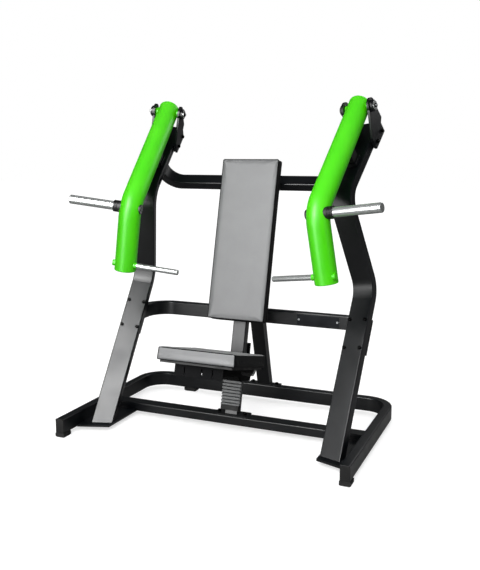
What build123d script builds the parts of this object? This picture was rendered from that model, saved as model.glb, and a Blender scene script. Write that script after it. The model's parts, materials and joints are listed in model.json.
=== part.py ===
from build123d import *
import os
from math import cos, sin, tan, radians, degrees, atan2, hypot

# Plate loaded seated chest press. Millimetres, +X right, -Y front, +Z up,
# origin on the floor under the middle of the base.

# overall base
base_width = 1630
base_depth = 1056
foot_height = 24
rail_width = 50
rail_height = 80
rail_corner = 140
end_cap = 4
tube_wall = 3
tube_round = 6

# front cross member, lying flat between the rails
cross_depth = 80
cross_height = 50
cross_y = -7

# foot plates that carry the uprights
foot_plate = 12
plate_inner_x = 596
plate_front_outer_y = -403
plate_front_inner_y = -344

# side assemblies: local axes are b (back), u (up) and w (outward)
side_x = 662
side_y = -321
toe = 13.0
lean = 7.5

# uprights, swept along (b, u)
upright_width = 120
upright_depth = 50
upright_bend = 135
upright_line = [(-13, -26), (552, 804), (359, 1310), (783, 1676)]

# pivot of each press arm
pivot_b = 655
pivot_u = 1775
shaft_r = 15
bearing_gap = 0.05
bearing_r = 32
bearing_length = 16
disc_r = 25
disc_thick = 4
cheek = 12
doubler = 10
cheek_clear = 5

# press arms
arm_r = 60
arm_wall = 4
arm_bend = 160
arm_top = (680.5, 1800)
arm_elbow = (108, 1250)
arm_foot = (136, 885)
arm_cap = 12
arm_cap_round = 4

# weight horns and handles
horn_b = 115
horn_u = 1235
horn_r = 25
horn_wall = 5
spigot_r = 23
horn_end = 348
collar_r = 32
collar_end = 92
horn_washer = 1
handle_b = 118
handle_u = 922
handle_r = 15
handle_end = 306
handle_boss = 8

# rear cross bars
bar_width = 50
bar_height = 80
mid_x = 686
mid_y = 375
mid_z = 568
mid_bend = 140
upper_x = 580
upper_y = 344
upper_z = 1351
upper_tilt = 53
upper_reach = 190
upper_bend = 110

# flanges and bolts of the middle bar
flange = 10
flange_length = 200
flange_along = 727
bolt_r = 6
hole_clear = 0.5
head_r = 10
head_height = 8
bolt_side = 45
bolt_span = 80

# spine post: local axes are x, l (up the post) and n (out of its front face)
spine_y = -28
spine_lean = 14.5
post_width = 80
post_depth = 50
post_plate = 8
post_plate_width = 200
spine_length = 1300

# rear post
rear_top_y = 384
rear_foot_y = 503

# backrest
rest_low = 516
rest_length = 920
rest_width = 344
rest_pad = 60
board = 14
board_inset = 12
bracket = 6
bracket_levels = [640, 1180]

# height rack
rack_width = 110
rack_depth = 30
rack_low = 50
rack_length = 276
rack_pitch = 18
rack_slot = 9
slot_first = 63
slot_count = 15
slot_depth = 12
stop_height = 28

# seat and carriage
seat_top = 348
seat_front = 539
seat_depth = 430
seat_width = 438
seat_pad = 68
seat_board = 12
side_plate = 8
rack_clear = 3
glide_gap = 0.4
latch_tooth_l = 225
latch_l = 285
latch_n = 48
latch_r = 8
latch_x = 150
latch_reach = 235
latch_lift = 9
tooth_depth = 8
hub_r = 15
hub_half = 20
spring_wire = 1.4

os.makedirs("parts", exist_ok=True)


def unit_frame():
    t, r = radians(toe), radians(lean)
    back = Vector(sin(t), cos(t), 0)
    out = Vector(cos(t) * cos(r), -sin(t) * cos(r), sin(r))
    return Plane(origin=(side_x, side_y, 0), x_dir=back, z_dir=out)


side = unit_frame()
spine_dir = radians(spine_lean)
spine_base_z = foot_height + cross_height + post_plate
spine = Plane(origin=(0, spine_y, spine_base_z), x_dir=(1, 0, 0),
              z_dir=(0, -cos(spine_dir), sin(spine_dir)))
rail_top = foot_height + rail_height
half_cheek = upright_width / 2 + doubler + cheek
everything = 6000


def save(name, shape):
    solids = shape.solids()
    whole = solids[0] if len(solids) == 1 else Compound(children=list(solids))
    export_step(whole, f"parts/{name}.step")


def mirrored(shape):
    return mirror(shape, about=Plane.YZ)


def group(*shapes):
    return Compound(children=[s for shape in shapes for s in shape.solids()])


def block(x0, x1, y0, y1, z0, z1):
    middle = Pos((x0 + x1) / 2, (y0 + y1) / 2, (z0 + z1) / 2)
    return middle * Box(x1 - x0, y1 - y0, z1 - z0)


def rod(radius, z0, z1, x=0, y=0):
    return Pos(x, y, (z0 + z1) / 2) * Cylinder(radius, z1 - z0)


def prism(points, z0, z1):
    return extrude(Pos(0, 0, z0) * make_face(Polyline(*points, close=True)), z1 - z0)


def under(z):
    return block(-everything, everything, -everything, everything, z - everything, z)


def ring(width, depth, wall=tube_wall):
    outer = RectangleRounded(width, depth, tube_round)
    inner = RectangleRounded(width - 2 * wall, depth - 2 * wall, tube_round - wall)
    return outer - inner


def swept(section, line, width_dir):
    start = Plane(origin=line @ 0, x_dir=width_dir, z_dir=line % 0)
    return sweep(start * section, path=line)


def bent_line(points, radius):
    return FilletPolyline(*points, radius=radius)


def u_line(half_x, front, back, radius):
    return bent_line([(half_x, front), (half_x, back), (-half_x, back), (-half_x, front)], radius)


# ---------------------------------------------------------------- base
rail_x = base_width / 2 - rail_width / 2
rail_inner_x = base_width / 2 - rail_width
front_y = -base_depth / 2
rear_y = base_depth / 2 - rail_width / 2


def make_base():
    line = u_line(rail_x, front_y + end_cap, rear_y, rail_corner)
    tube = swept(ring(rail_height, rail_width), line, (0, 0, 1))
    save("base_tube", Pos(0, 0, foot_height + rail_height / 2) * tube)
    cap = block(rail_inner_x, base_width / 2, front_y, front_y + end_cap, foot_height, rail_top)
    cap = fillet(cap.edges().group_by(Axis.Y)[0], 2)
    save("base_end_caps", group(cap, mirrored(cap)))


def make_feet():
    splay = 6
    front_long = 64
    foot = block(rail_inner_x - 3, base_width / 2 + 3, front_y, front_y + front_long, 0, foot_height)
    foot = chamfer(foot.edges().group_by(Axis.Z)[0], splay)
    save("front_feet", group(foot, mirrored(foot)))
    rear_x = 510
    rear_long = 80
    foot = block(rear_x - rear_long / 2, rear_x + rear_long / 2, rear_y - rail_width / 2,
                 rear_y + rail_width / 2, 0, foot_height)
    foot = chamfer(foot.edges().group_by(Axis.Z)[0], splay)
    save("rear_feet", group(foot, mirrored(foot)))


def make_crossbar():
    bar = extrude(Plane.YZ * ring(cross_depth, cross_height), rail_inner_x, both=True)
    save("front_crossbar", Pos(0, cross_y, foot_height + cross_height / 2) * bar)


def make_foot_plate():
    back = cross_y - cross_depth / 2
    outline = [(rail_inner_x, plate_front_outer_y), (rail_inner_x, back),
               (plate_inner_x, back), (plate_inner_x, plate_front_inner_y)]
    plate = prism(outline, foot_height, foot_height + foot_plate)
    save("foot_plate_right", plate)
    save("foot_plate_left", mirrored(plate))


# ------------------------------------------------------------ uprights
def upright_body(section):
    line = bent_line(upright_line, upright_bend)
    body = side * swept(section, line, (0, 0, 1))
    return body - under(foot_height + foot_plate)


upright_hull = upright_body(RectangleRounded(upright_width, upright_depth, tube_round))

low_dir = radians(90) - atan2(upright_line[1][0] - upright_line[0][0],
                              upright_line[1][1] - upright_line[0][1])
top_dir = atan2(upright_line[3][1] - upright_line[2][1], upright_line[3][0] - upright_line[2][0])
# frames on the front faces: x runs along the upright, y out of its front face
low_start, top_start = upright_line[0], upright_line[2]
front_skin = Pos(0, upright_depth / 2)
low_face = side * Pos(low_start[0], low_start[1]) * Rot(0, 0, degrees(low_dir)) * front_skin
top_face = side * Pos(top_start[0], top_start[1]) * Rot(0, 0, degrees(top_dir)) * front_skin
top_length = hypot(upright_line[3][0] - upright_line[2][0], upright_line[3][1] - upright_line[2][1])
bolt_spots = [(flange_along + i * bolt_span, j * bolt_side) for i in (-1, 1) for j in (-1, 1)]


def in_low_face(shape):
    return low_face * shape


def in_top_face(shape):
    return top_face * shape


def across(radius, y0, y1, x, z):
    return Pos(x, (y0 + y1) / 2, z) * Rot(90, 0, 0) * Cylinder(radius, y1 - y0)


def make_uprights():
    tube = upright_body(ring(upright_width, upright_depth))
    for x, z in bolt_spots:
        tube -= in_low_face(across(bolt_r + hole_clear, -upright_depth - 1, 1, x, z))
    save("upright_right", tube)
    save("upright_left", mirrored(tube))
    cap_thick = 5
    cap = in_top_face(block(top_length, top_length + cap_thick, -upright_depth, 0,
                            -upright_width / 2, upright_width / 2))
    save("upright_caps", group(cap, mirrored(cap)))


# ------------------------------------------------------- rear cross bars
def mid_tube(section):
    line = u_line(mid_x, side_y + 200, mid_y, mid_bend)
    return Pos(0, 0, mid_z) * swept(section, line, (0, 0, 1))


def make_mid_bar():
    back = -upright_depth - flange
    reach = 400
    front_side = in_low_face(block(0, flange_along + reach, back, reach, -reach / 2, reach / 2))
    tube = mid_tube(ring(bar_height, bar_width))
    tube = tube - front_side - mirrored(front_side)
    save("mid_bar", tube)
    plate = block(flange_along - flange_length / 2, flange_along + flange_length / 2, back,
                  -upright_depth, -upright_width / 2, upright_width / 2)
    bolts = []
    for x, z in bolt_spots:
        plate -= across(bolt_r + hole_clear, back - 1, 1 - upright_depth, x, z)
        head = chamfer(across(head_r, 0, head_height, x, z).edges().sort_by(Axis.Y)[-1:], 2)
        nut = across(head_r, back - head_height, back, x, z)
        bolts.append(head + across(bolt_r, back, 0, x, z) + nut)
    plate = in_low_face(plate)
    save("mid_bar_flanges", group(plate, mirrored(plate)))
    bolts = in_low_face(group(*bolts))
    save("mid_bar_bolts", group(bolts, mirrored(bolts)))


upper_dir = radians(upper_tilt)
# x across the machine, y forwards and up along the bar's arms
upper_plane = Plane(origin=(0, upper_y, upper_z), x_dir=(1, 0, 0),
                    z_dir=(0, sin(upper_dir), cos(upper_dir)))


def upper_tube(section):
    line = u_line(upper_x, -upper_reach, 0, upper_bend)
    return upper_plane * swept(section, line, (0, 0, 1))


def make_upper_bar():
    tube = upper_tube(ring(bar_height, bar_width))
    tube = tube - upright_hull - mirrored(upright_hull)
    save("upper_bar", max(tube.solids(), key=lambda s: s.volume))


def make_name_plate():
    width, height, thick, rivet_r = 250, 62, 3, 4
    middle = 382
    front = mid_y - bar_width / 2
    plate = block(middle - width / 2, middle + width / 2, front - thick, front,
                  mid_z - height / 2, mid_z + height / 2)
    plate = fillet(plate.edges().filter_by(Axis.Y), 4)
    rivets = []
    for i in (-1, 1):
        x = middle + i * (width / 2 - 10)
        plate -= Pos(0, front, mid_z) * across(rivet_r, -thick - 1, 1, x, 0)
        rivets.append(Pos(0, front, mid_z) * across(rivet_r, -thick, 0, x, 0)
                      + Pos(0, front, mid_z) * across(rivet_r + 2, -thick - 2, -thick, x, 0))
    save("name_plate", plate)
    save("name_plate_rivets", group(*rivets))


# ------------------------------------------------------------- posts
def make_spine_post():
    body = block(-post_width / 2, post_width / 2, -40, spine_length, -post_depth, 0)
    core = block(-post_width / 2 + tube_wall, post_width / 2 - tube_wall, -41, spine_length + 1,
                 -post_depth + tube_wall, -tube_wall)
    body = fillet(body.edges().filter_by(Axis.Y), tube_round)
    post = spine * (body - core)
    post = post - under(spine_base_z) - upper_tube(Rectangle(bar_height, bar_width))
    save("spine_post", max(post.solids(), key=lambda s: s.volume))


rear_base_z = rail_top + post_plate
rear_top_z = mid_z - bar_height / 2


def make_rear_post():
    rise = rear_top_z - rear_base_z
    slope = atan2(rear_foot_y - rear_top_y, rise)
    depth = post_depth / cos(slope)
    skin = tube_wall / cos(slope)

    def leaning(inset_x, inset_y):
        half = depth / 2 - inset_y
        face = make_face(Polyline((rear_foot_y - half, rear_base_z), (rear_foot_y + half, rear_base_z),
                                  (rear_top_y + half, rear_top_z), (rear_top_y - half, rear_top_z), close=True))
        return extrude(Plane.YZ * face, post_width / 2 - inset_x, both=True)

    post = leaning(0, 0) - leaning(tube_wall, skin)
    save("rear_post", post)


def make_post_plates():
    def plate_at(y, z, depth):
        plate = block(-post_plate_width / 2, post_plate_width / 2, y - depth / 2, y + depth / 2,
                      z, z + post_plate)
        bolts = []
        for i in (-1, 1):
            x = i * (post_plate_width / 2 - 22)
            plate -= rod(bolt_r + hole_clear, z - 1, z + post_plate + 1, x, y)
            bolts.append(rod(bolt_r, z, z + post_plate, x, y)
                         + rod(head_r, z + post_plate, z + post_plate + head_height, x, y))
        return plate, group(*bolts)

    front = plate_at(cross_y, foot_height + cross_height, cross_depth)
    rear = plate_at(rear_y, rail_top, rail_width)
    save("post_foot_plates", group(front[0], rear[0]))
    save("post_foot_bolts", group(front[1], rear[1]))


# ---------------------------------------------------------- backrest
def make_backrest():
    high = rest_low + rest_length
    half = rest_width / 2
    plate_half, plate_tall = 130, 60
    bolt_x = 105
    plates, bolts = [], []
    for level in bracket_levels:
        plate = block(-plate_half, plate_half, level - plate_tall / 2, level + plate_tall / 2, 0, bracket)
        for i in (-1, 1):
            plate -= rod(bolt_r + hole_clear, -1, bracket + 1, i * bolt_x, level)
            bolts.append(rod(bolt_r, 0, bracket, i * bolt_x, level)
                         + rod(head_r, -head_height, 0, i * bolt_x, level))
        plates.append(plate)
    save("backrest_brackets", spine * group(*plates))
    save("backrest_bolts", spine * group(*bolts))
    panel = block(-half + board_inset, half - board_inset, rest_low + board_inset, high - board_inset,
                  bracket, bracket + board)
    save("backrest_board", spine * fillet(panel.edges().filter_by(Axis.Z), 10))
    pad = block(-half, half, rest_low, high, bracket + board, bracket + board + rest_pad)
    save("backrest_pad", spine * fillet(pad.edges().filter_by(Axis.Z), 14))


# -------------------------------------------------------- height rack
def make_rack():
    half = rack_width / 2
    body = block(-half, half, rack_low, rack_low + rack_length, 0, rack_depth)
    fall = 0.33 * (slot_depth + 1)
    side_view = Plane(origin=(-half - 1, 0, 0), x_dir=(0, 1, 0), z_dir=(1, 0, 0))
    for i in range(slot_count):
        mouth = slot_first + i * rack_pitch
        low, high = mouth - rack_slot / 2, mouth + rack_slot / 2
        face = make_face(Polyline((low - 0.33, rack_depth + 1), (high - 0.33, rack_depth + 1),
                                  (high + fall, rack_depth - slot_depth),
                                  (low + fall, rack_depth - slot_depth), close=True))
        body -= extrude(side_view * face, rack_width + 2)
    save("height_rack", spine * body)
    stop = block(-half + 3, half - 3, rack_low - stop_height, rack_low, 0, rack_depth + 3)
    save("rack_stop", spine * fillet(stop.edges().filter_by(Axis.X), 3))


# --------------------------------------------------------------- seat
inner = rack_width / 2 + rack_clear
plate_out = inner + side_plate
arm_wide = 40
frame_top = seat_top - seat_pad - seat_board
skin = 6


def make_carriage():
    back, front = -post_depth - 26, 95
    low, high = 190, 335
    plate = block(inner, plate_out, low, high, back, front)
    plate = chamfer(plate.edges().filter_by(Axis.X).group_by(Axis.Z)[-1], 30)
    plate -= Pos(0, latch_l, latch_n) * Rot(0, 90, 0) * Cylinder(latch_r + bearing_gap, 4 * inner)
    save("carriage_side_plates", spine * group(plate, mirrored(plate)))
    yoke_half, yoke_high = 50, 402
    yoke = block(-inner, inner, low + 20, high, back, back + 10)
    yoke += block(-yoke_half, yoke_half, high, yoke_high, back, back + 10)
    save("carriage_yoke", spine * yoke)
    face = rack_depth + glide_gap
    front_plate = block(-inner, inner, low, low + 26, face + 14, face + 22)
    save("carriage_front_plate", spine * front_plate)
    half = post_width / 2
    rear_glide = block(-36, 36, high + 10, yoke_high - 2, back + 10, -post_depth - glide_gap)
    front_glide = block(-half - 10, half + 10, low, low + 26, face, face + 14)
    side_glide = block(half + glide_gap, inner, low + 10, high - 10, -post_depth + 4, -6)
    save("carriage_glides", spine * group(rear_glide, front_glide, side_glide, mirrored(side_glide)))


def make_seat_frame():
    top = frame_top
    arm_low = top - skin - arm_wide
    reach = 474
    tube = block(plate_out, plate_out + arm_wide, arm_low, arm_low + arm_wide, -20, reach)
    tube -= block(plate_out + 3, plate_out + arm_wide - 3, arm_low + 3, arm_low + arm_wide - 3, -21, reach + 1)
    save("seat_arms", spine * group(tube, mirrored(tube)))
    half = 135
    sheet = block(-half, half, top - skin, top, 130, reach + skin)
    apron = block(-half, half, top - 62, top - skin, reach, reach + skin)
    for x in (-78, 18, 78):
        apron -= block(x - 3, x + 3, top - 55, top - skin - 6, reach - 1, reach + skin + 1)
    save("seat_frame", spine * (sheet + apron))


def make_seat():
    half = seat_width / 2
    rear = seat_front - seat_depth
    low = seat_top - seat_pad
    panel = block(-half + 14, half - 14, low - seat_board, low, rear + 16, seat_front - 16)
    save("seat_board", spine * fillet(panel.edges().filter_by(Axis.Y), 10))
    pad = block(-half, half, low, seat_top, rear, seat_front)
    save("seat_pad", spine * fillet(pad.edges().filter_by(Axis.Y), 14))


# The pawl is shaped with its tooth in a slot, then turned clear of the ribs.
def make_latch():
    here = Pos(0, latch_l, latch_n)
    lifted = spine * here * Rot(-latch_lift, 0, 0) * here.inverse()
    sideways = Rot(0, 90, 0)
    hub = here * sideways * Cylinder(hub_r, 2 * hub_half)
    view = Plane(origin=(-hub_half, 0, 0), x_dir=(0, 1, 0), z_dir=(1, 0, 0))
    tip = rack_depth - tooth_depth
    heel = rack_depth + 2
    lip = latch_tooth_l
    blade = make_face(Polyline((latch_l - 8, latch_n - 12), (latch_l - 8, latch_n + 12),
                               (lip - 4, heel + 12), (lip - 4, heel),
                               (lip - 2, rack_depth), (lip + 0.6, tip), (lip + 4.4, tip),
                               (lip + 2, rack_depth), (lip + 2.4, heel), close=True))
    pawl = hub + extrude(view * blade, 2 * hub_half)
    shaft_hole = here * sideways * Cylinder(latch_r, 4 * hub_half)
    save("latch_pawl", lifted * (pawl - shaft_hole))
    middle = here * Pos((latch_x - plate_out) / 2)
    straight = middle * sideways * Cylinder(latch_r, latch_x + plate_out)
    crank_r = 6
    crank = Polyline((latch_x, latch_l, latch_n), (latch_x, latch_tooth_l, latch_n + 50),
                     (latch_x, latch_tooth_l - 7, latch_reach))
    start = Plane(origin=crank @ 0, z_dir=crank % 0)
    bar = sweep(start * Circle(crank_r), path=crank, transition=Transition.ROUND)
    knuckle = here * Pos(latch_x) * sideways * Cylinder(latch_r + 3, 20)
    save("latch_shaft", lifted * (straight + bar + knuckle))
    tail = Plane(origin=crank @ 1, z_dir=crank % 1)
    grip = tail * rod(13, -90, 4) - tail * rod(crank_r, -91, 0)
    save("latch_grip", lifted * fillet(grip.edges().sort_by(Axis.Z)[-1:], 3))


# A coil between the pawl and one side plate gives the latch its friction.
def make_latch_spring():
    start = hub_half + spring_wire + 0.3
    length = inner - spring_wire - 0.3 - start
    coil = Helix(pitch=length / 6, height=length, radius=latch_r + 3)
    wire = sweep(Plane(origin=coil @ 0, z_dir=coil % 0) * Circle(spring_wire), path=coil)
    save("latch_spring", spine * Pos(start, latch_l, latch_n) * Rot(0, 90, 0) * wire)


# --------------------------------------------- pivots on the uprights
def pivot_rod(radius, w0, w1):
    return side * rod(radius, w0, w1, pivot_b, pivot_u)


def cheek_outline():
    pivot = Vector(pivot_b, pivot_u) - Vector(upright_line[2][0], upright_line[2][1])
    along = pivot.X * cos(top_dir) + pivot.Y * sin(top_dir)
    rise = -pivot.X * sin(top_dir) + pivot.Y * cos(top_dir) - upright_depth / 2
    return along, rise


def make_cheeks():
    along, rise = cheek_outline()
    low, high = along - 138, along + 12
    web = [(low, -upright_depth), (low, 22), (along - 44, rise + 6), (along + 38, rise + 20),
           (along + 42, 24), (high, 8), (high, -upright_depth)]
    w0 = half_cheek - cheek
    outline = make_face(Polyline(*web, close=True)) + Pos(along, rise) * Circle(45)
    plate = extrude(Pos(0, 0, w0) * outline, cheek)
    plate -= rod(shaft_r + cheek_clear, w0 - 1, half_cheek + 1, along, rise)
    pad = prism([(low + 6, -upright_depth), (low + 6, 0), (high, 0), (high, -upright_depth)],
                upright_width / 2, w0)
    bolts = []
    for x in (low + 32, high - 28):
        z0 = half_cheek
        plate -= rod(bolt_r + hole_clear, w0 - 1, z0 + 1, x, -upright_depth / 2)
        pad -= rod(bolt_r + hole_clear, upright_width / 2 - 1, w0 + 1, x, -upright_depth / 2)
        bolts.append(rod(bolt_r, upright_width / 2, z0, x, -upright_depth / 2)
                     + rod(head_r, z0, z0 + head_height, x, -upright_depth / 2))
    both = group(plate, mirror(plate, about=Plane.XY))
    pads = group(pad, mirror(pad, about=Plane.XY))
    studs = group(*bolts)
    studs = group(studs, mirror(studs, about=Plane.XY))
    plates = in_top_face(both)
    save("cheek_plates_right", plates)
    save("cheek_plates_left", mirrored(plates))
    pads = in_top_face(pads)
    save("cheek_doublers", group(pads, mirrored(pads)))
    studs = in_top_face(studs)
    save("cheek_bolts", group(studs, mirrored(studs)))


def make_bearings():
    housings = []
    for i in (-1, 1):
        near, far = half_cheek, half_cheek + bearing_length
        body = rod(bearing_r, min(i * near, i * far), max(i * near, i * far), pivot_b, pivot_u)
        body = chamfer(body.edges().group_by(Axis.Z)[-1 if i > 0 else 0], 3)
        body -= rod(shaft_r + bearing_gap, -far - 1, far + 1, pivot_b, pivot_u)
        housings.append(side * body)
    housings = group(*housings)
    save("bearing_housings", group(housings, mirrored(housings)))


# ------------------------------------------------------- press arms
def arm_line(trim):
    (tb, tu), (eb, eu), (fb, fu) = arm_top, arm_elbow, arm_foot
    upper, lower = hypot(tb - eb, tu - eu), hypot(fb - eb, fu - eu)
    top = (tb - (tb - eb) / upper * trim, tu - (tu - eu) / upper * trim)
    foot = (fb - (fb - eb) / lower * trim, fu - (fu - eu) / lower * trim)
    return bent_line([top, arm_elbow, foot], arm_bend)


def arm_solid(radius, trim):
    line = arm_line(trim)
    start = Plane(origin=line @ 0, x_dir=(0, 0, 1), z_dir=line % 0)
    return sweep(start * Circle(radius), path=line)


arm_hull = arm_solid(arm_r, arm_cap)
# the handle stops inside a closed boss on the outer side of the arm
handle_seat = arm_r + handle_boss - 4


def arm_end(point, axis):
    end = Plane(origin=(point[0], point[1], 0), z_dir=(axis.X, axis.Y, 0))
    cap = rod(arm_r, -arm_cap, 0)
    return end * fillet(cap.edges().group_by(Axis.Z)[-1], arm_cap_round)


def both_arms(name, shape):
    save(f"{name}_right", shape)
    save(f"{name}_left", mirrored(shape))


def make_arm():
    shaft = rod(shaft_r, -200, 200, pivot_b, pivot_u)
    horn = rod(spigot_r, -200, 200, horn_b, horn_u)
    grip = rod(handle_r, -200, handle_seat, handle_b, handle_u)
    boss_r = hypot(arm_top[0] - pivot_b, arm_top[1] - pivot_u) - arm_cap - 1
    boss_end = half_cheek - cheek - 0.5
    boss = rod(boss_r, -boss_end, boss_end, pivot_b, pivot_u)
    socket = arm_r + handle_boss
    sleeve = rod(handle_r + 2, -socket, socket, handle_b, handle_u)
    bore = arm_solid(arm_r - arm_wall, arm_cap) - rod(handle_r + 2, 0, socket, handle_b, handle_u)
    tube = arm_hull + boss + sleeve - bore
    tube = tube - shaft - horn - grip
    both_arms("arm_tube", side * max(tube.solids(), key=lambda s: s.volume))
    line = arm_line(0)
    caps = group(arm_end(arm_top, line % 0 * -1), arm_end(arm_foot, line % 1))
    both_arms("arm_caps", side * caps)


def make_pivot_shaft():
    end = half_cheek + bearing_length + 0.5
    shaft = rod(shaft_r, -end, end, pivot_b, pivot_u)
    bolts = []
    for i in (-1, 1):
        a, b = i * end, i * (end + disc_thick)
        disc = rod(disc_r, min(a, b), max(a, b), pivot_b, pivot_u)
        shaft += chamfer(disc.edges().group_by(Axis.Z)[-1 if i > 0 else 0], 1.5)
        c = i * (end + disc_thick + head_height - 2)
        bolts.append(rod(head_r, min(b, c), max(b, c), pivot_b, pivot_u))
    both_arms("pivot_shaft", side * shaft)
    both_arms("pivot_bolts", side * group(*bolts))


def make_horn():
    inner_face = -arm_r - horn_washer
    bar = rod(horn_r, collar_end, horn_end, horn_b, horn_u)
    bar = chamfer(bar.edges().group_by(Axis.Z)[-1], 3)
    spigot = rod(spigot_r, inner_face, collar_end, horn_b, horn_u)
    core = rod(spigot_r - horn_wall, inner_face - 1, horn_end - 8, horn_b, horn_u)
    both_arms("horn", side * (bar + spigot - core))
    sleeve = rod(collar_r, 0, collar_end, horn_b, horn_u)
    for i in range(3):
        z = collar_end - 6 - 8 * i
        groove = rod(collar_r + 1, z - 3, z, horn_b, horn_u) - rod(collar_r - 3, z - 4, z + 1, horn_b, horn_u)
        sleeve -= groove
    washer = rod(horn_r + 2, inner_face, 0, horn_b, horn_u)
    hole = rod(spigot_r, -200, 200, horn_b, horn_u)
    outer = max((sleeve - arm_hull - hole).solids(), key=lambda s: s.center().Z)
    inner_ring = min((washer - arm_hull - hole).solids(), key=lambda s: s.center().Z)
    both_arms("horn_collars", side * group(outer, inner_ring))


def make_handle():
    bar = rod(handle_r, -handle_end, handle_seat, handle_b, handle_u)
    bar = fillet(bar.edges().group_by(Axis.Z)[0], 5)
    both_arms("handle", side * bar)


def make_rest_bumper():
    low, high, half = 200, 260, 45
    step = 24
    bracket_block = in_top_face(block(low - 8, high + 8, 0, step, -half, half))
    save("rest_brackets", group(bracket_block, mirrored(bracket_block)))
    pad = in_top_face(block(low, high, step, step + 50, -half + 8, half - 8))
    pad = pad - side * arm_solid(arm_r + 0.5, 0)
    pad = min(pad.solids(), key=lambda s: s.center().Z) if len(pad.solids()) > 1 else pad
    save("rest_bumpers", group(pad, mirrored(pad)))


make_base()
make_feet()
make_crossbar()
make_foot_plate()
make_uprights()
make_mid_bar()
make_upper_bar()
make_name_plate()
make_spine_post()
make_rear_post()
make_post_plates()
make_backrest()
make_rack()
make_carriage()
make_seat_frame()
make_seat()
make_latch()
make_latch_spring()
make_cheeks()
make_bearings()
make_arm()
make_pivot_shaft()
make_horn()
make_handle()
make_rest_bumper()
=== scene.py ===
import json
import math
import bpy
import numpy as np
from mathutils import Matrix, Vector


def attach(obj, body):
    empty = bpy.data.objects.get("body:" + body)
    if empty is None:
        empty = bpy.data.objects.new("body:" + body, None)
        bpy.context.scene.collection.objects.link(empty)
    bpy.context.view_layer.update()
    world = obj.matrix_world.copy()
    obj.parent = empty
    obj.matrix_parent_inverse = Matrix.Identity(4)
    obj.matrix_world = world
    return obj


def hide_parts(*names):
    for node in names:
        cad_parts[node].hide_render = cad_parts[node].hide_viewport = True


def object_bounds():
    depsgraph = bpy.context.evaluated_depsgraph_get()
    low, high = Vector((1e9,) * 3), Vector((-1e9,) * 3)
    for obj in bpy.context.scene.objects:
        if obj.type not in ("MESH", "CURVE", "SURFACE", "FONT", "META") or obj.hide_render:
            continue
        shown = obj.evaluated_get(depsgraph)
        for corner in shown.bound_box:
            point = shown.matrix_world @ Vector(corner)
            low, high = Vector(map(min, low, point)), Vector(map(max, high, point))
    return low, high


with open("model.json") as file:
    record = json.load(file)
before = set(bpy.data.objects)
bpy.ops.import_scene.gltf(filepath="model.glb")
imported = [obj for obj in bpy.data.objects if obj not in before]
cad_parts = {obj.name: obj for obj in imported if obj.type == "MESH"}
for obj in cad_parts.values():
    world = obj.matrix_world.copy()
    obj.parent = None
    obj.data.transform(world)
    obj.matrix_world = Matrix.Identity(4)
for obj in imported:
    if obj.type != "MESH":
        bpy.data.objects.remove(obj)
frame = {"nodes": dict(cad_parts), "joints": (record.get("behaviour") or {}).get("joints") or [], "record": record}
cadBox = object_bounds()
nodes = frame["nodes"]
joints = {joint["name"]: joint for joint in frame["joints"]}
print("frame loaded")


# ---- camera, made first
camera = {"place": (1.63594, -3.76026, 1.51308), "pitch": 81.02, "turn": 23.02,
          "lens": 48.04, "shiftX": 0.0016, "shiftY": -0.0184}


def makeCamera():
    data = bpy.data.cameras.new("camera")
    data.lens = camera["lens"]
    data.shift_x = camera["shiftX"]
    data.shift_y = camera["shiftY"]
    made = bpy.data.objects.new("camera", data)
    bpy.context.scene.collection.objects.link(made)
    made.location = camera["place"]
    made.rotation_euler = (math.radians(camera["pitch"]), 0, math.radians(camera["turn"]))
    bpy.context.scene.camera = made


makeCamera()


# ---- materials
def colour(code):
    parts = [int(code[i:i + 2], 16) / 255 for i in (1, 3, 5)]
    return [c / 12.92 if c <= 0.04045 else ((c + 0.055) / 1.055) ** 2.4 for c in parts] + [1]


def addNode(tree, kind, settings=None, links=None):
    made = tree.nodes.new(kind)
    for name, value in (settings or {}).items():
        if isinstance(name, int) or name in made.inputs:
            made.inputs[name].default_value = value
        else:
            setattr(made, name, value)
    for name, source in (links or {}).items():
        tree.links.new(source, made.inputs[name])
    return made


def perMm(size):
    return 1000 / size  # a texture scale that repeats about every size millimetres


def newMaterial(name, settings):
    made = bpy.data.materials.new(name)
    made.use_nodes = True
    tree = made.node_tree
    tree.nodes.clear()
    shader = addNode(tree, "ShaderNodeBsdfPrincipled", settings)
    addNode(tree, "ShaderNodeOutputMaterial", {}, {"Surface": shader.outputs[0]})
    place = addNode(tree, "ShaderNodeTexCoord").outputs["Object"]
    return made, tree, shader, place


def blendColours(tree, first, second, factor):
    mix = addNode(tree, "ShaderNodeMix", {"data_type": "RGBA", 6: colour(first), 7: colour(second)},
                  {0: factor})
    return mix.outputs[2]


def stretch(tree, value, fromLow, fromHigh, toLow, toHigh):
    made = addNode(tree, "ShaderNodeMapRange", {"From Min": fromLow, "From Max": fromHigh,
                                                "To Min": toLow, "To Max": toHigh}, {"Value": value})
    return made.outputs[0]


def noise(tree, place, size, detail):
    settings = {"Scale": perMm(size), "Detail": detail}
    return addNode(tree, "ShaderNodeTexNoise", settings, {"Vector": place})


def bumpFrom(tree, shader, height, strength, depth):
    bump = addNode(tree, "ShaderNodeBump", {"Strength": strength, "Distance": depth}, {"Height": height})
    tree.links.new(bump.outputs[0], shader.inputs["Normal"])


# pattern sizes in millimetres, bump depths in metres
paintGrain = {"cloud": 160, "speck": 1.6, "speckShare": 0.35, "depth": 0.0004}
mouldGrain = {"cloud": 60, "depth": 0.0003}
metalGrain = {"smear": 45, "depth": 0.0002}
vinylGrain = {"warp": 9, "warpShare": 0.0012, "cloud": 120, "fine": 3, "fineShare": 0.4, "depth": 0.0004}


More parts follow.
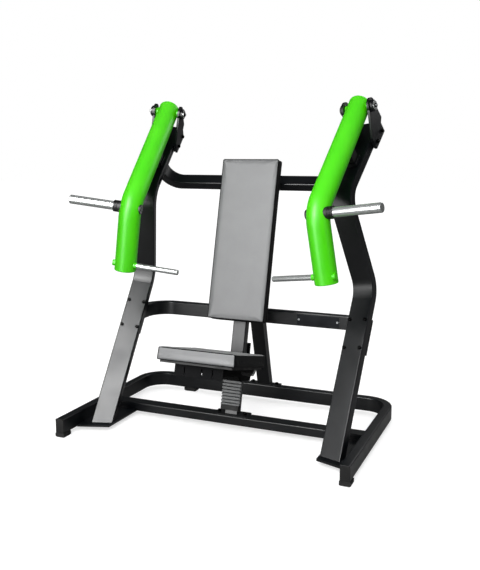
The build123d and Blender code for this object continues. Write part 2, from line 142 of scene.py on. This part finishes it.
def paintMaterial(name, look):
    # powder coat: sprayed polyester, baked, so it is even but has a faint orange peel and no flow marks
    made, tree, shader, place = newMaterial(name, {"IOR": look["ior"]})
    peel = noise(tree, place, look["peel"], 2.0)
    cloud = noise(tree, place, paintGrain["cloud"], 4.0)
    speck = noise(tree, place, paintGrain["speck"], 1.0)
    mixed = addNode(tree, "ShaderNodeMath", {"operation": "MULTIPLY_ADD", 1: paintGrain["speckShare"]},
                    {0: speck.outputs[0], 2: cloud.outputs[0]})
    tone = stretch(tree, mixed.outputs[0], 0.45, 0.9, 0, 1)
    tree.links.new(blendColours(tree, look["dark"], look["light"], tone), shader.inputs["Base Color"])
    tree.links.new(stretch(tree, cloud.outputs[0], 0.3, 0.7, look["smooth"], look["rough"]),
                   shader.inputs["Roughness"])
    bumpFrom(tree, shader, peel.outputs[0], look["bump"], paintGrain["depth"])
    return made


def mouldedMaterial(name, look):
    # moulded plastic or rubber with a fine spark-eroded grain
    made, tree, shader, place = newMaterial(name, {"IOR": look["ior"]})
    grain = addNode(tree, "ShaderNodeTexVoronoi", {"Scale": perMm(look["grain"])}, {"Vector": place})
    cloud = noise(tree, place, mouldGrain["cloud"], 5.0)
    tree.links.new(blendColours(tree, look["dark"], look["light"], cloud.outputs[0]),
                   shader.inputs["Base Color"])
    tree.links.new(stretch(tree, cloud.outputs[0], 0.3, 0.7, look["smooth"], look["rough"]),
                   shader.inputs["Roughness"])
    bumpFrom(tree, shader, grain.outputs["Distance"], look["bump"], mouldGrain["depth"])
    return made


def metalMaterial(name, look):
    # plated or plain metal; long noise along one way stands for the brushing or polishing
    made, tree, shader, place = newMaterial(name, {"Metallic": look.get("metal", 1.0)})
    spread = addNode(tree, "ShaderNodeMapping", {"Scale": look["grainWay"]}, {"Vector": place})
    lines = noise(tree, spread.outputs[0], look["grain"], 3.0)
    smear = noise(tree, place, metalGrain["smear"], 5.0)
    tree.links.new(blendColours(tree, look["dark"], look["light"], smear.outputs[0]),
                   shader.inputs["Base Color"])
    both = addNode(tree, "ShaderNodeMath", {"operation": "MULTIPLY"},
                   {0: lines.outputs[0], 1: smear.outputs[0]})
    tree.links.new(stretch(tree, both.outputs[0], 0.1, 0.5, look["smooth"], look["rough"]),
                   shader.inputs["Roughness"])
    bumpFrom(tree, shader, lines.outputs[0], look["bump"], metalGrain["depth"])
    return made


def vinylMaterial(name, look):
    # upholstery vinyl: PVC on cloth, embossed with a small leather grain, creases between soft cells
    made, tree, shader, place = newMaterial(name, {"IOR": look["ior"], "Sheen Weight": look["sheen"],
                                                   "Sheen Roughness": 0.5})
    warp = noise(tree, place, vinylGrain["warp"], 2.0)
    moved = addNode(tree, "ShaderNodeMix",
                    {"data_type": "VECTOR", "factor_mode": "UNIFORM", 0: vinylGrain["warpShare"]},
                    {4: place, 5: warp.outputs["Color"]})
    cells = addNode(tree, "ShaderNodeTexVoronoi",
                    {"feature": "SMOOTH_F1", "Scale": perMm(look["grain"])},
                    {"Vector": moved.outputs[1]})
    cloud = noise(tree, place, vinylGrain["cloud"], 6.0)
    cloud.inputs["Roughness"].default_value = 0.6
    fine = noise(tree, place, vinylGrain["fine"], 2.0)
    mixed = addNode(tree, "ShaderNodeMath", {"operation": "MULTIPLY_ADD", 1: vinylGrain["fineShare"]},
                    {0: fine.outputs[0], 2: cloud.outputs[0]})
    tone = stretch(tree, mixed.outputs[0], 0.5, 0.95, 0, 1)
    tree.links.new(blendColours(tree, look["dark"], look["light"], tone), shader.inputs["Base Color"])
    tree.links.new(stretch(tree, cells.outputs["Distance"], 0.1, 0.8, look["smooth"], look["rough"]),
                   shader.inputs["Roughness"])
    bumpFrom(tree, shader, cells.outputs["Distance"], look["bump"], vinylGrain["depth"])
    return made


paints = {
    "satinBlackPowderCoat": {"dark": "#06080A", "light": "#0B0D10", "ior": 1.5,
                             "peel": 2.5, "smooth": 0.3, "rough": 0.37, "bump": 0.05},
    "glossGreenPowderCoat": {"dark": "#40C400", "light": "#4ACC00", "ior": 1.45,
                             "peel": 3.0, "smooth": 0.33, "rough": 0.4, "bump": 0.05},
    # painted shade: a darker, duller copy of the satin black coat, used only on the parts under the seat
    "mattBlackPowderCoat": {"dark": "#020203", "light": "#040506", "ior": 1.14,
                            "peel": 2.5, "smooth": 0.5, "rough": 0.6, "bump": 0.08},
    "lightGreyPaint": {"dark": "#4C4E4F", "light": "#565859", "ior": 1.45,
                       "peel": 2.5, "smooth": 0.35, "rough": 0.45, "bump": 0.05},
}
mouldings = {
    "blackPolypropylene": {"dark": "#070707", "light": "#0E0E0E", "ior": 1.49, "grain": 0.8,
                           "smooth": 0.42, "rough": 0.55, "bump": 0.2},
    "blackRubber": {"dark": "#0A0A0A", "light": "#141414", "ior": 1.52, "grain": 1.2,
                    "smooth": 0.6, "rough": 0.8, "bump": 0.3},
    "coatedPlywood": {"dark": "#060606", "light": "#0B0B0B", "ior": 1.45, "grain": 1.5,
                      "smooth": 0.5, "rough": 0.65, "bump": 0.2},
}
metals = {
    "polishedChromePlate": {"dark": "#A9ACAB", "light": "#BABDBC", "grain": 0.5, "grainWay": (1, 1, 1),
                            "metal": 0.7, "smooth": 0.2, "rough": 0.28, "bump": 0.01},
    "blackOxideSteel": {"dark": "#131313", "light": "#1E1E1E", "grain": 0.6, "grainWay": (1, 1, 1),
                        "smooth": 0.3, "rough": 0.45, "bump": 0.05},
    "zincPlatedSteel": {"dark": "#A2A5A7", "light": "#B6B9BB", "grain": 0.4, "grainWay": (1, 1, 1),
                        "smooth": 0.25, "rough": 0.4, "bump": 0.04},
    "darkAnodisedAluminium": {"dark": "#232426", "light": "#2C2D30", "grain": 0.5,
                              "grainWay": (0.03, 1, 1), "smooth": 0.3, "rough": 0.45, "bump": 0.08},
}
vinyls = {
    "greyVinyl": {"dark": "#5F6061", "light": "#656667", "grain": 1.6, "sheen": 0.1, "ior": 1.5,
                  "smooth": 0.42, "rough": 0.55, "bump": 0.12},
    "blackVinyl": {"dark": "#050607", "light": "#090A0B", "grain": 1.6, "sheen": 0.02, "ior": 1.16,
                   "smooth": 0.5, "rough": 0.62, "bump": 0.15},
}
finish = {}
for build, looks in ((paintMaterial, paints), (mouldedMaterial, mouldings),
                     (metalMaterial, metals), (vinylMaterial, vinyls)):
    for name, look in looks.items():
        finish[name] = build(name, look)

slotFinish = {"frame_black": "satinBlackPowderCoat", "arm_green": "glossGreenPowderCoat",
              "plastic_black": "blackPolypropylene", "rubber": "blackRubber",
              "bolt_black": "blackOxideSteel",
              "plate_dark": "darkAnodisedAluminium", "rivet_steel": "zincPlatedSteel",
              "chrome": "polishedChromePlate", "vinyl_grey": "greyVinyl", "board": "coatedPlywood",
              "rack_grey": "lightGreyPaint"}

# painted shade: the parts under the seat get a darker, nearly unreflective copy of the black coat, standing for
# the shade the seat casts on them
paintedShadeFinish = {name: "mattBlackPowderCoat" for name in ("seat_frame", "seat_arms", "carriage_side_plates",
                                                       "carriage_yoke", "carriage_front_plate")}


def dressNodes():
    for part in frame["record"]["subparts"]:
        slots = nodes[part["node"]].data.materials
        slots.clear()
        slots.append(finish[paintedShadeFinish.get(part["node"], slotFinish[part["material_slot"]])])


dressNodes()
print("materials on the frame")


# ---- small helpers for modelling
def selectOnly(piece):
    bpy.ops.object.select_all(action="DESELECT")
    piece.select_set(True)
    bpy.context.view_layer.objects.active = piece


def editing(piece):
    selectOnly(piece)
    bpy.ops.object.mode_set(mode="EDIT")
    bpy.ops.mesh.select_mode(type="EDGE")
    bpy.ops.mesh.select_all(action="DESELECT")
    bpy.ops.object.mode_set(mode="OBJECT")


def pick(items, test):
    for item in items:
        item.select = test(item)
    bpy.ops.object.mode_set(mode="EDIT")


def settle(piece):
    selectOnly(piece)
    bpy.ops.object.transform_apply(location=True, rotation=True, scale=True)
    piece.data.update()


def finishPiece(piece, name, body, slot, *replaced):
    piece.name = name
    piece.data.name = name
    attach(piece, body)
    if replaced:
        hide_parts(*replaced)


upPost = Vector(joints["seat_height"]["axis"])
outPost = Vector((0, -upPost.z, upPost.y))
# x across, y up the post, z out of it
postTurn = Matrix((Vector((1, 0, 0)), upPost, outPost)).transposed()


def boxAlong(node, turn):
    back = turn.transposed()
    points = np.array([back @ v.co for v in nodes[node].data.vertices])
    return Vector(points.min(0)), Vector(points.max(0))


# ---- cushions
backCushion = {"name": "backrestCushion", "node": "backrest_pad", "body": "frame",
               "swell": 0.003, "corner": 0.01, "edge": 0.003, "voxel": 0.005, "cap": 0.003,
               "fill": 0.9, "base": 2, "front": 2}
seatCushion = {"name": "seatCushion", "node": "seat_pad", "body": "seat",
               "swell": 0.003, "corner": 0.01, "edge": 0.003, "voxel": 0.005, "cap": 0.003,
               "fill": 0.85, "base": 1, "front": 2}
foam = {"pressure": 4, "steps": 20, "held": 0.8}  # held is the depth kept on the board, in voxels
seam = {"in": 0.0025, "pipe": 0.0028, "sunk": 0.0004, "steps": 40, "proud": 0.001, "corner": 0.004,
        "cornerSteps": 6}
facing = {"tilt": 0.6, "band": 0.02}


def cushionBlank(spec):
    low, high = boxAlong(spec["node"], postTurn)
    inset = Vector((spec["swell"],) * 3)
    start, end = low + inset, high - inset
    start[spec["base"]] = low[spec["base"]]  # it stays flat on its board
    middle, size = (start + end) / 2, end - start
    bpy.ops.object.select_all(action="DESELECT")
    bpy.ops.mesh.primitive_cube_add(size=1, location=middle)
    piece = bpy.context.object
    piece.scale = size
    settle(piece)
    editing(piece)
    vertices = piece.data.vertices

    def upright(edge):
        way = vertices[edge.vertices[0]].co - vertices[edge.vertices[1]].co
        return abs(way[spec["base"]]) > 1e-5

    pick(piece.data.edges, upright)
    bpy.ops.mesh.bevel(offset=spec["corner"], segments=5)
    bpy.ops.mesh.select_all(action="SELECT")
    bpy.ops.object.mode_set(mode="OBJECT")
    rounded = piece.modifiers.new("edges", "BEVEL")
    rounded.width, rounded.segments = spec["edge"], 3
    rounded.limit_method, rounded.angle_limit = "ANGLE", 0.9
    bpy.ops.object.modifier_apply(modifier="edges")
    remesh = piece.modifiers.new("grid", "REMESH")
    remesh.mode, remesh.voxel_size = "VOXEL", spec["voxel"]
    bpy.ops.object.modifier_apply(modifier="grid")
    return piece, low, high


def inflate(piece, spec, low):
    group = piece.vertex_groups.new(name="onBoard")
    top = low[spec["base"]] + spec["voxel"] * foam["held"]
    held = [v.index for v in piece.data.vertices if v.co[spec["base"]] < top]
    group.add(held, 1.0, "REPLACE")
    before = np.array([v.co for v in piece.data.vertices])
    cloth = piece.modifiers.new("foam", "CLOTH")
    cloth.settings.vertex_group_mass = "onBoard"
    cloth.settings.use_pressure = True
    cloth.settings.uniform_pressure_force = foam["pressure"]
    cloth.settings.effector_weights.gravity = 0
    scene = bpy.context.scene
    for step in range(1, foam["steps"] + 1):
        scene.frame_set(step)
    shaped = piece.evaluated_get(bpy.context.evaluated_depsgraph_get()).to_mesh()
    after = np.array([v.co for v in shaped.vertices])
    piece.modifiers.remove(cloth)
    scene.frame_set(1)
    move = after - before
    length = np.linalg.norm(move, axis=1, keepdims=True)
    move *= np.minimum(1, spec["cap"] / np.maximum(length, 1e-9))
    piece.data.vertices.foreach_set("co", (before + move).ravel())
    piece.data.update()


def fillBox(piece, low, high):
    # the cover is drawn tight, so its outline comes back out to the cut size
    points = np.array([v.co for v in piece.data.vertices])
    start, end = points.min(0), points.max(0)
    for i in range(3):
        points[:, i] = low[i] + (points[:, i] - start[i]) * (high[i] - low[i]) / (end[i] - start[i])
    piece.data.vertices.foreach_set("co", points.ravel())
    piece.data.update()


def ringPoints(spec, low, high):
    # the line of the front seam: a rectangle with rounded corners, just behind the front
    front = spec["front"]
    radius = spec["corner"] + seam["proud"] if spec["base"] == front else seam["corner"]
    sideA, sideB = [i for i in range(3) if i != front]
    points = []
    for signA, signB, begin in ((1, 1, 0), (-1, 1, 90), (-1, -1, 180), (1, -1, 270)):
        centreA = (high[sideA] - radius) if signA > 0 else (low[sideA] + radius)
        centreB = (high[sideB] - radius) if signB > 0 else (low[sideB] + radius)
        for step in range(seam["cornerSteps"] + 1):
            angle = math.radians(begin + 90 * step / seam["cornerSteps"])
            point = Vector()
            point[front] = high[front] - seam["in"]
            point[sideA] = centreA + radius * math.cos(angle)
            point[sideB] = centreB + radius * math.sin(angle)
            points.append(point)
    return points


def onCover(piece, points):
    # the seam line is drawn on the swollen cover, with steps close enough to follow it
    close = []
    for first, second in zip(points, points[1:] + points[:1]):
        steps = max(1, int((second - first).length * seam["steps"]))
        for step in range(steps):
            point = first.lerp(second, step / steps)
            found, place, normal, face = piece.closest_point_on_mesh(point)
            close.append(place - normal * seam["sunk"])
    return close


def makePiping(piece, spec, low, high):
    # piping: a cord wrapped in a strip of the cover, sewn into the front seam all the way round
    curve = bpy.data.curves.new(spec["name"] + "Piping", "CURVE")
    curve.dimensions = "3D"
    curve.bevel_depth, curve.bevel_resolution = seam["pipe"], 3
    line = curve.splines.new("POLY")
    points = onCover(piece, ringPoints(spec, low, high))
    line.points.add(len(points) - 1)
    for target, point in zip(line.points, points):
        target.co = (*point, 1)
    line.use_cyclic_u = True
    holder = bpy.data.objects.new(spec["name"] + "Piping", curve)
    bpy.context.scene.collection.objects.link(holder)
    selectOnly(holder)
    bpy.ops.object.convert(target="MESH")
    piping = bpy.context.object
    bpy.ops.object.shade_smooth()
    piping.data.transform(postTurn.to_4x4())
    piping.data.materials.append(finish["blackVinyl"])
    finishPiece(piping, spec["name"] + "Piping", spec["body"], "vinyl_grey")


def makeCushion(spec, isFace):
    piece, low, high = cushionBlank(spec)
    inflate(piece, spec, low)
    selectOnly(piece)
    smooth = piece.modifiers.new("finer", "SUBSURF")
    smooth.levels = smooth.render_levels = 1
    bpy.ops.object.modifier_apply(modifier="finer")
    bpy.ops.object.shade_smooth()
    fillBox(piece, low, high)
    piece.data.materials.append(finish["blackVinyl"])
    piece.data.materials.append(finish["greyVinyl"])
    for polygon in piece.data.polygons:
        polygon.material_index = 1 if isFace(polygon.center, polygon.normal, high) else 0
    makePiping(piece, spec, low, high)
    piece.data.transform(postTurn.to_4x4())
    finishPiece(piece, spec["name"], spec["body"], "vinyl_grey", spec["node"])


def facesOut(point, normal, high, axis):
    return normal[axis] > facing["tilt"] and point[axis] > high[axis] - facing["band"]


def backFace(point, normal, high):
    return facesOut(point, normal, high, 2)


def seatFace(point, normal, high):
    return facesOut(point, normal, high, 2) or facesOut(point, normal, high, 1)


makeCushion(backCushion, backFace)
makeCushion(seatCushion, seatFace)
print("cushions made")


# ---- button head screws, set on the plain bolt heads
button = {"radius": 0.0085, "height": 0.0036, "dome": 0.0026, "socket": 0.0046, "deep": 0.0024,
          "sunk": 0.0002, "sides": 36, "domeSteps": 5, "domeCurve": 0.6, "smoothAngle": 0.6}
boltSets = {"mid_bar_bolts": ("frame", "bothEnds", "blackOxideSteel"),
            "cheek_bolts": ("frame", "bothEnds", "blackOxideSteel"),
            "post_foot_bolts": ("frame", (0, 0, 1), "blackOxideSteel"),
            "backrest_bolts": ("frame", (0, 1, -0.2), "blackOxideSteel"),
            "pivot_bolts_right": ("right_arm", "apart", "zincPlatedSteel"),
            "pivot_bolts_left": ("left_arm", "apart", "zincPlatedSteel")}


def makeButton():
    bpy.ops.object.select_all(action="DESELECT")
    bpy.ops.mesh.primitive_cylinder_add(vertices=button["sides"], radius=button["radius"],
                                        depth=button["height"], location=(0, 0, button["height"] / 2))
    head = bpy.context.object
    settle(head)
    editing(head)
    top = button["height"]
    vertices = head.data.vertices
    pick(head.data.edges, lambda edge: all(vertices[i].co.z > top - 1e-5 for i in edge.vertices))
    bpy.ops.mesh.bevel(offset=button["dome"], segments=button["domeSteps"], profile=button["domeCurve"])
    bpy.ops.object.mode_set(mode="OBJECT")
    bpy.ops.object.select_all(action="DESELECT")
    bpy.ops.mesh.primitive_cylinder_add(vertices=6, radius=button["socket"], depth=2 * button["deep"],
                                        location=(0, 0, top))
    cutter = bpy.context.object
    settle(cutter)
    cut = head.modifiers.new("socket", "BOOLEAN")
    cut.object, cut.operation, cut.solver = cutter, "DIFFERENCE", "EXACT"
    selectOnly(head)
    bpy.ops.object.modifier_apply(modifier="socket")
    bpy.data.objects.remove(cutter)
    selectOnly(head)
    bpy.ops.object.shade_smooth_by_angle(angle=button["smoothAngle"])
    return head


def loosePieces(mesh):
    # groups the points of a mesh by the lump they belong to
    points = np.array([v.co for v in mesh.vertices])
    owner = list(range(len(points)))

    def root(i):
        while owner[i] != i:
            owner[i] = owner[owner[i]]
            i = owner[i]
        return i

    first = {}
    for i, point in enumerate(points):
        same = first.setdefault(tuple(np.round(point, 5)), i)
        owner[root(i)] = root(same)
    for edge in mesh.edges:
        owner[root(edge.vertices[0])] = root(edge.vertices[1])
    lumps = {}
    for i in range(len(points)):
        lumps.setdefault(root(i), []).append(i)
    return [points[members] for members in lumps.values()]


def boltEnds(lump, sides, centre):
    middle = lump.mean(0)
    values, ways = np.linalg.eigh(np.cov((lump - middle).T))
    spans = np.ptp((lump - middle) @ ways, axis=0)
    odd = max(range(3), key=lambda i: min(abs(spans[i] - spans[j]) for j in range(3) if j != i))
    way = ways[:, odd]
    along = (lump - middle) @ way
    ends = [(middle + way * along.max(), way), (middle + way * along.min(), -way)]
    if sides == "bothEnds":
        return ends
    aim = middle - centre if sides == "apart" else np.array(sides)
    return [end for end in ends if end[1] @ aim > 0]


def setButtons():
    master = makeButton()
    for node, (body, sides, metal) in boltSets.items():
        lumps = loosePieces(nodes[node].data)
        centre = np.mean([lump.mean(0) for lump in lumps], axis=0)
        copies = []
        for lump in lumps:
            for place, way in boltEnds(lump, sides, centre):
                copy = master.copy()
                copy.data = master.data.copy()
                bpy.context.scene.collection.objects.link(copy)
                turn = Vector(way).to_track_quat("Z", "Y").to_matrix().to_4x4()
                copy.data.transform(Matrix.Translation(Vector(place - way * button["sunk"])) @ turn)
                copies.append(copy)
        bpy.ops.object.select_all(action="DESELECT")
        for copy in copies:
            copy.select_set(True)
        bpy.context.view_layer.objects.active = copies[0]
        bpy.ops.object.join()
        joined = bpy.context.object
        joined.data.materials.clear()
        joined.data.materials.append(finish[metal])
        slot = "bolt_black" if metal == "blackOxideSteel" else "rivet_steel"
        finishPiece(joined, "buttonHeads_" + node, body, slot)
    bpy.data.objects.remove(master)


setButtons()
print("screw heads made")


# ---- stage and lights
stageLook = {"seenLight": 1.0, "aroundLight": 0.05, "seenFloor": 0.5, "bounce": 0.2, "glow": 0.62,
             "size": 60, "gap": 0.0005}


def makeStage():
    bpy.ops.object.select_all(action="DESELECT")
    under = cadBox[0].z - stageLook["gap"]
    bpy.ops.mesh.primitive_plane_add(size=stageLook["size"], location=(0, 0, under))
    floor = bpy.context.object
    floor.name = "floor"
    made = bpy.data.materials.new("paleFloor")
    made.use_nodes = True
    tree = made.node_tree
    tree.nodes.clear()
    path = addNode(tree, "ShaderNodeLightPath")
    seen = path.outputs["Is Camera Ray"]
    tone = stretch(tree, seen, 0, 1, stageLook["bounce"], stageLook["seenFloor"])
    matt = addNode(tree, "ShaderNodeBsdfDiffuse", {}, {"Color": tone})
    glow = stretch(tree, seen, 0, 1, 0, stageLook["glow"])
    lit = addNode(tree, "ShaderNodeEmission", {}, {"Strength": glow})
    both = addNode(tree, "ShaderNodeAddShader", {}, {0: matt.outputs[0], 1: lit.outputs[0]})
    addNode(tree, "ShaderNodeOutputMaterial", {}, {"Surface": both.outputs[0]})
    floor.data.materials.append(made)
    world = bpy.data.worlds.new("studio")
    bpy.context.scene.world = world
    world.use_nodes = True
    tree = world.node_tree
    tree.nodes.clear()
    seen = addNode(tree, "ShaderNodeLightPath").outputs["Is Camera Ray"]
    power = stretch(tree, seen, 0, 1, stageLook["aroundLight"], stageLook["seenLight"])
    sky = addNode(tree, "ShaderNodeBackground", {"Color": (1, 1, 1, 1)}, {"Strength": power})
    addNode(tree, "ShaderNodeOutputWorld", {}, {"Surface": sky.outputs[0]})


# the cards only show in glossy surfaces; the fill and the sun only light matt ones
lights = {
    "highCard": {"turn": -16, "lift": 34, "away": 3.6, "size": (1.2, 1.9), "glow": 20, "matt": False},
    "lowCard": {"turn": -20, "lift": 3, "away": 3.4, "size": (1.5, 2.0), "glow": 8.5, "matt": False},
    "backCard": {"turn": 160, "lift": 30, "away": 4.2, "size": (2.4, 1.6), "glow": 2.5, "matt": False},
    "sideCard": {"turn": 80, "lift": 15, "away": 4.2, "size": (1.6, 1.6), "glow": 1.2, "matt": False},
    "frontFill": {"turn": 6, "lift": 24, "away": 3.4, "size": (2.4, 2.4), "glow": 7.0, "matt": True},
}
topSun = {"power": 3.0, "spread": 120}


def linkLight(name, data, matt):
    made = bpy.data.objects.new(name, data)
    bpy.context.scene.collection.objects.link(made)
    made.visible_diffuse = matt
    made.visible_glossy = not matt
    return made


def makeLights():
    aim = (cadBox[0] + cadBox[1]) / 2
    for name, look in lights.items():
        data = bpy.data.lights.new(name, "AREA")
        data.shape = "RECTANGLE"
        data.size, data.size_y = look["size"]
        data.energy = look["glow"] * math.pi * data.size * data.size_y
        made = linkLight(name, data, look["matt"])
        turn, lift = math.radians(look["turn"]), math.radians(look["lift"])
        way = Vector((math.sin(turn) * math.cos(lift), -math.cos(turn) * math.cos(lift), math.sin(lift)))
        made.location = aim + way * look["away"]
        made.rotation_euler = way.to_track_quat("Z", "Y").to_euler()
    data = bpy.data.lights.new("topSun", "SUN")
    data.energy, data.angle = topSun["power"], math.radians(topSun["spread"])
    linkLight("topSun", data, True)


makeStage()
makeLights()
bpy.context.scene.view_settings.view_transform = "Standard"
print("stage and lights")
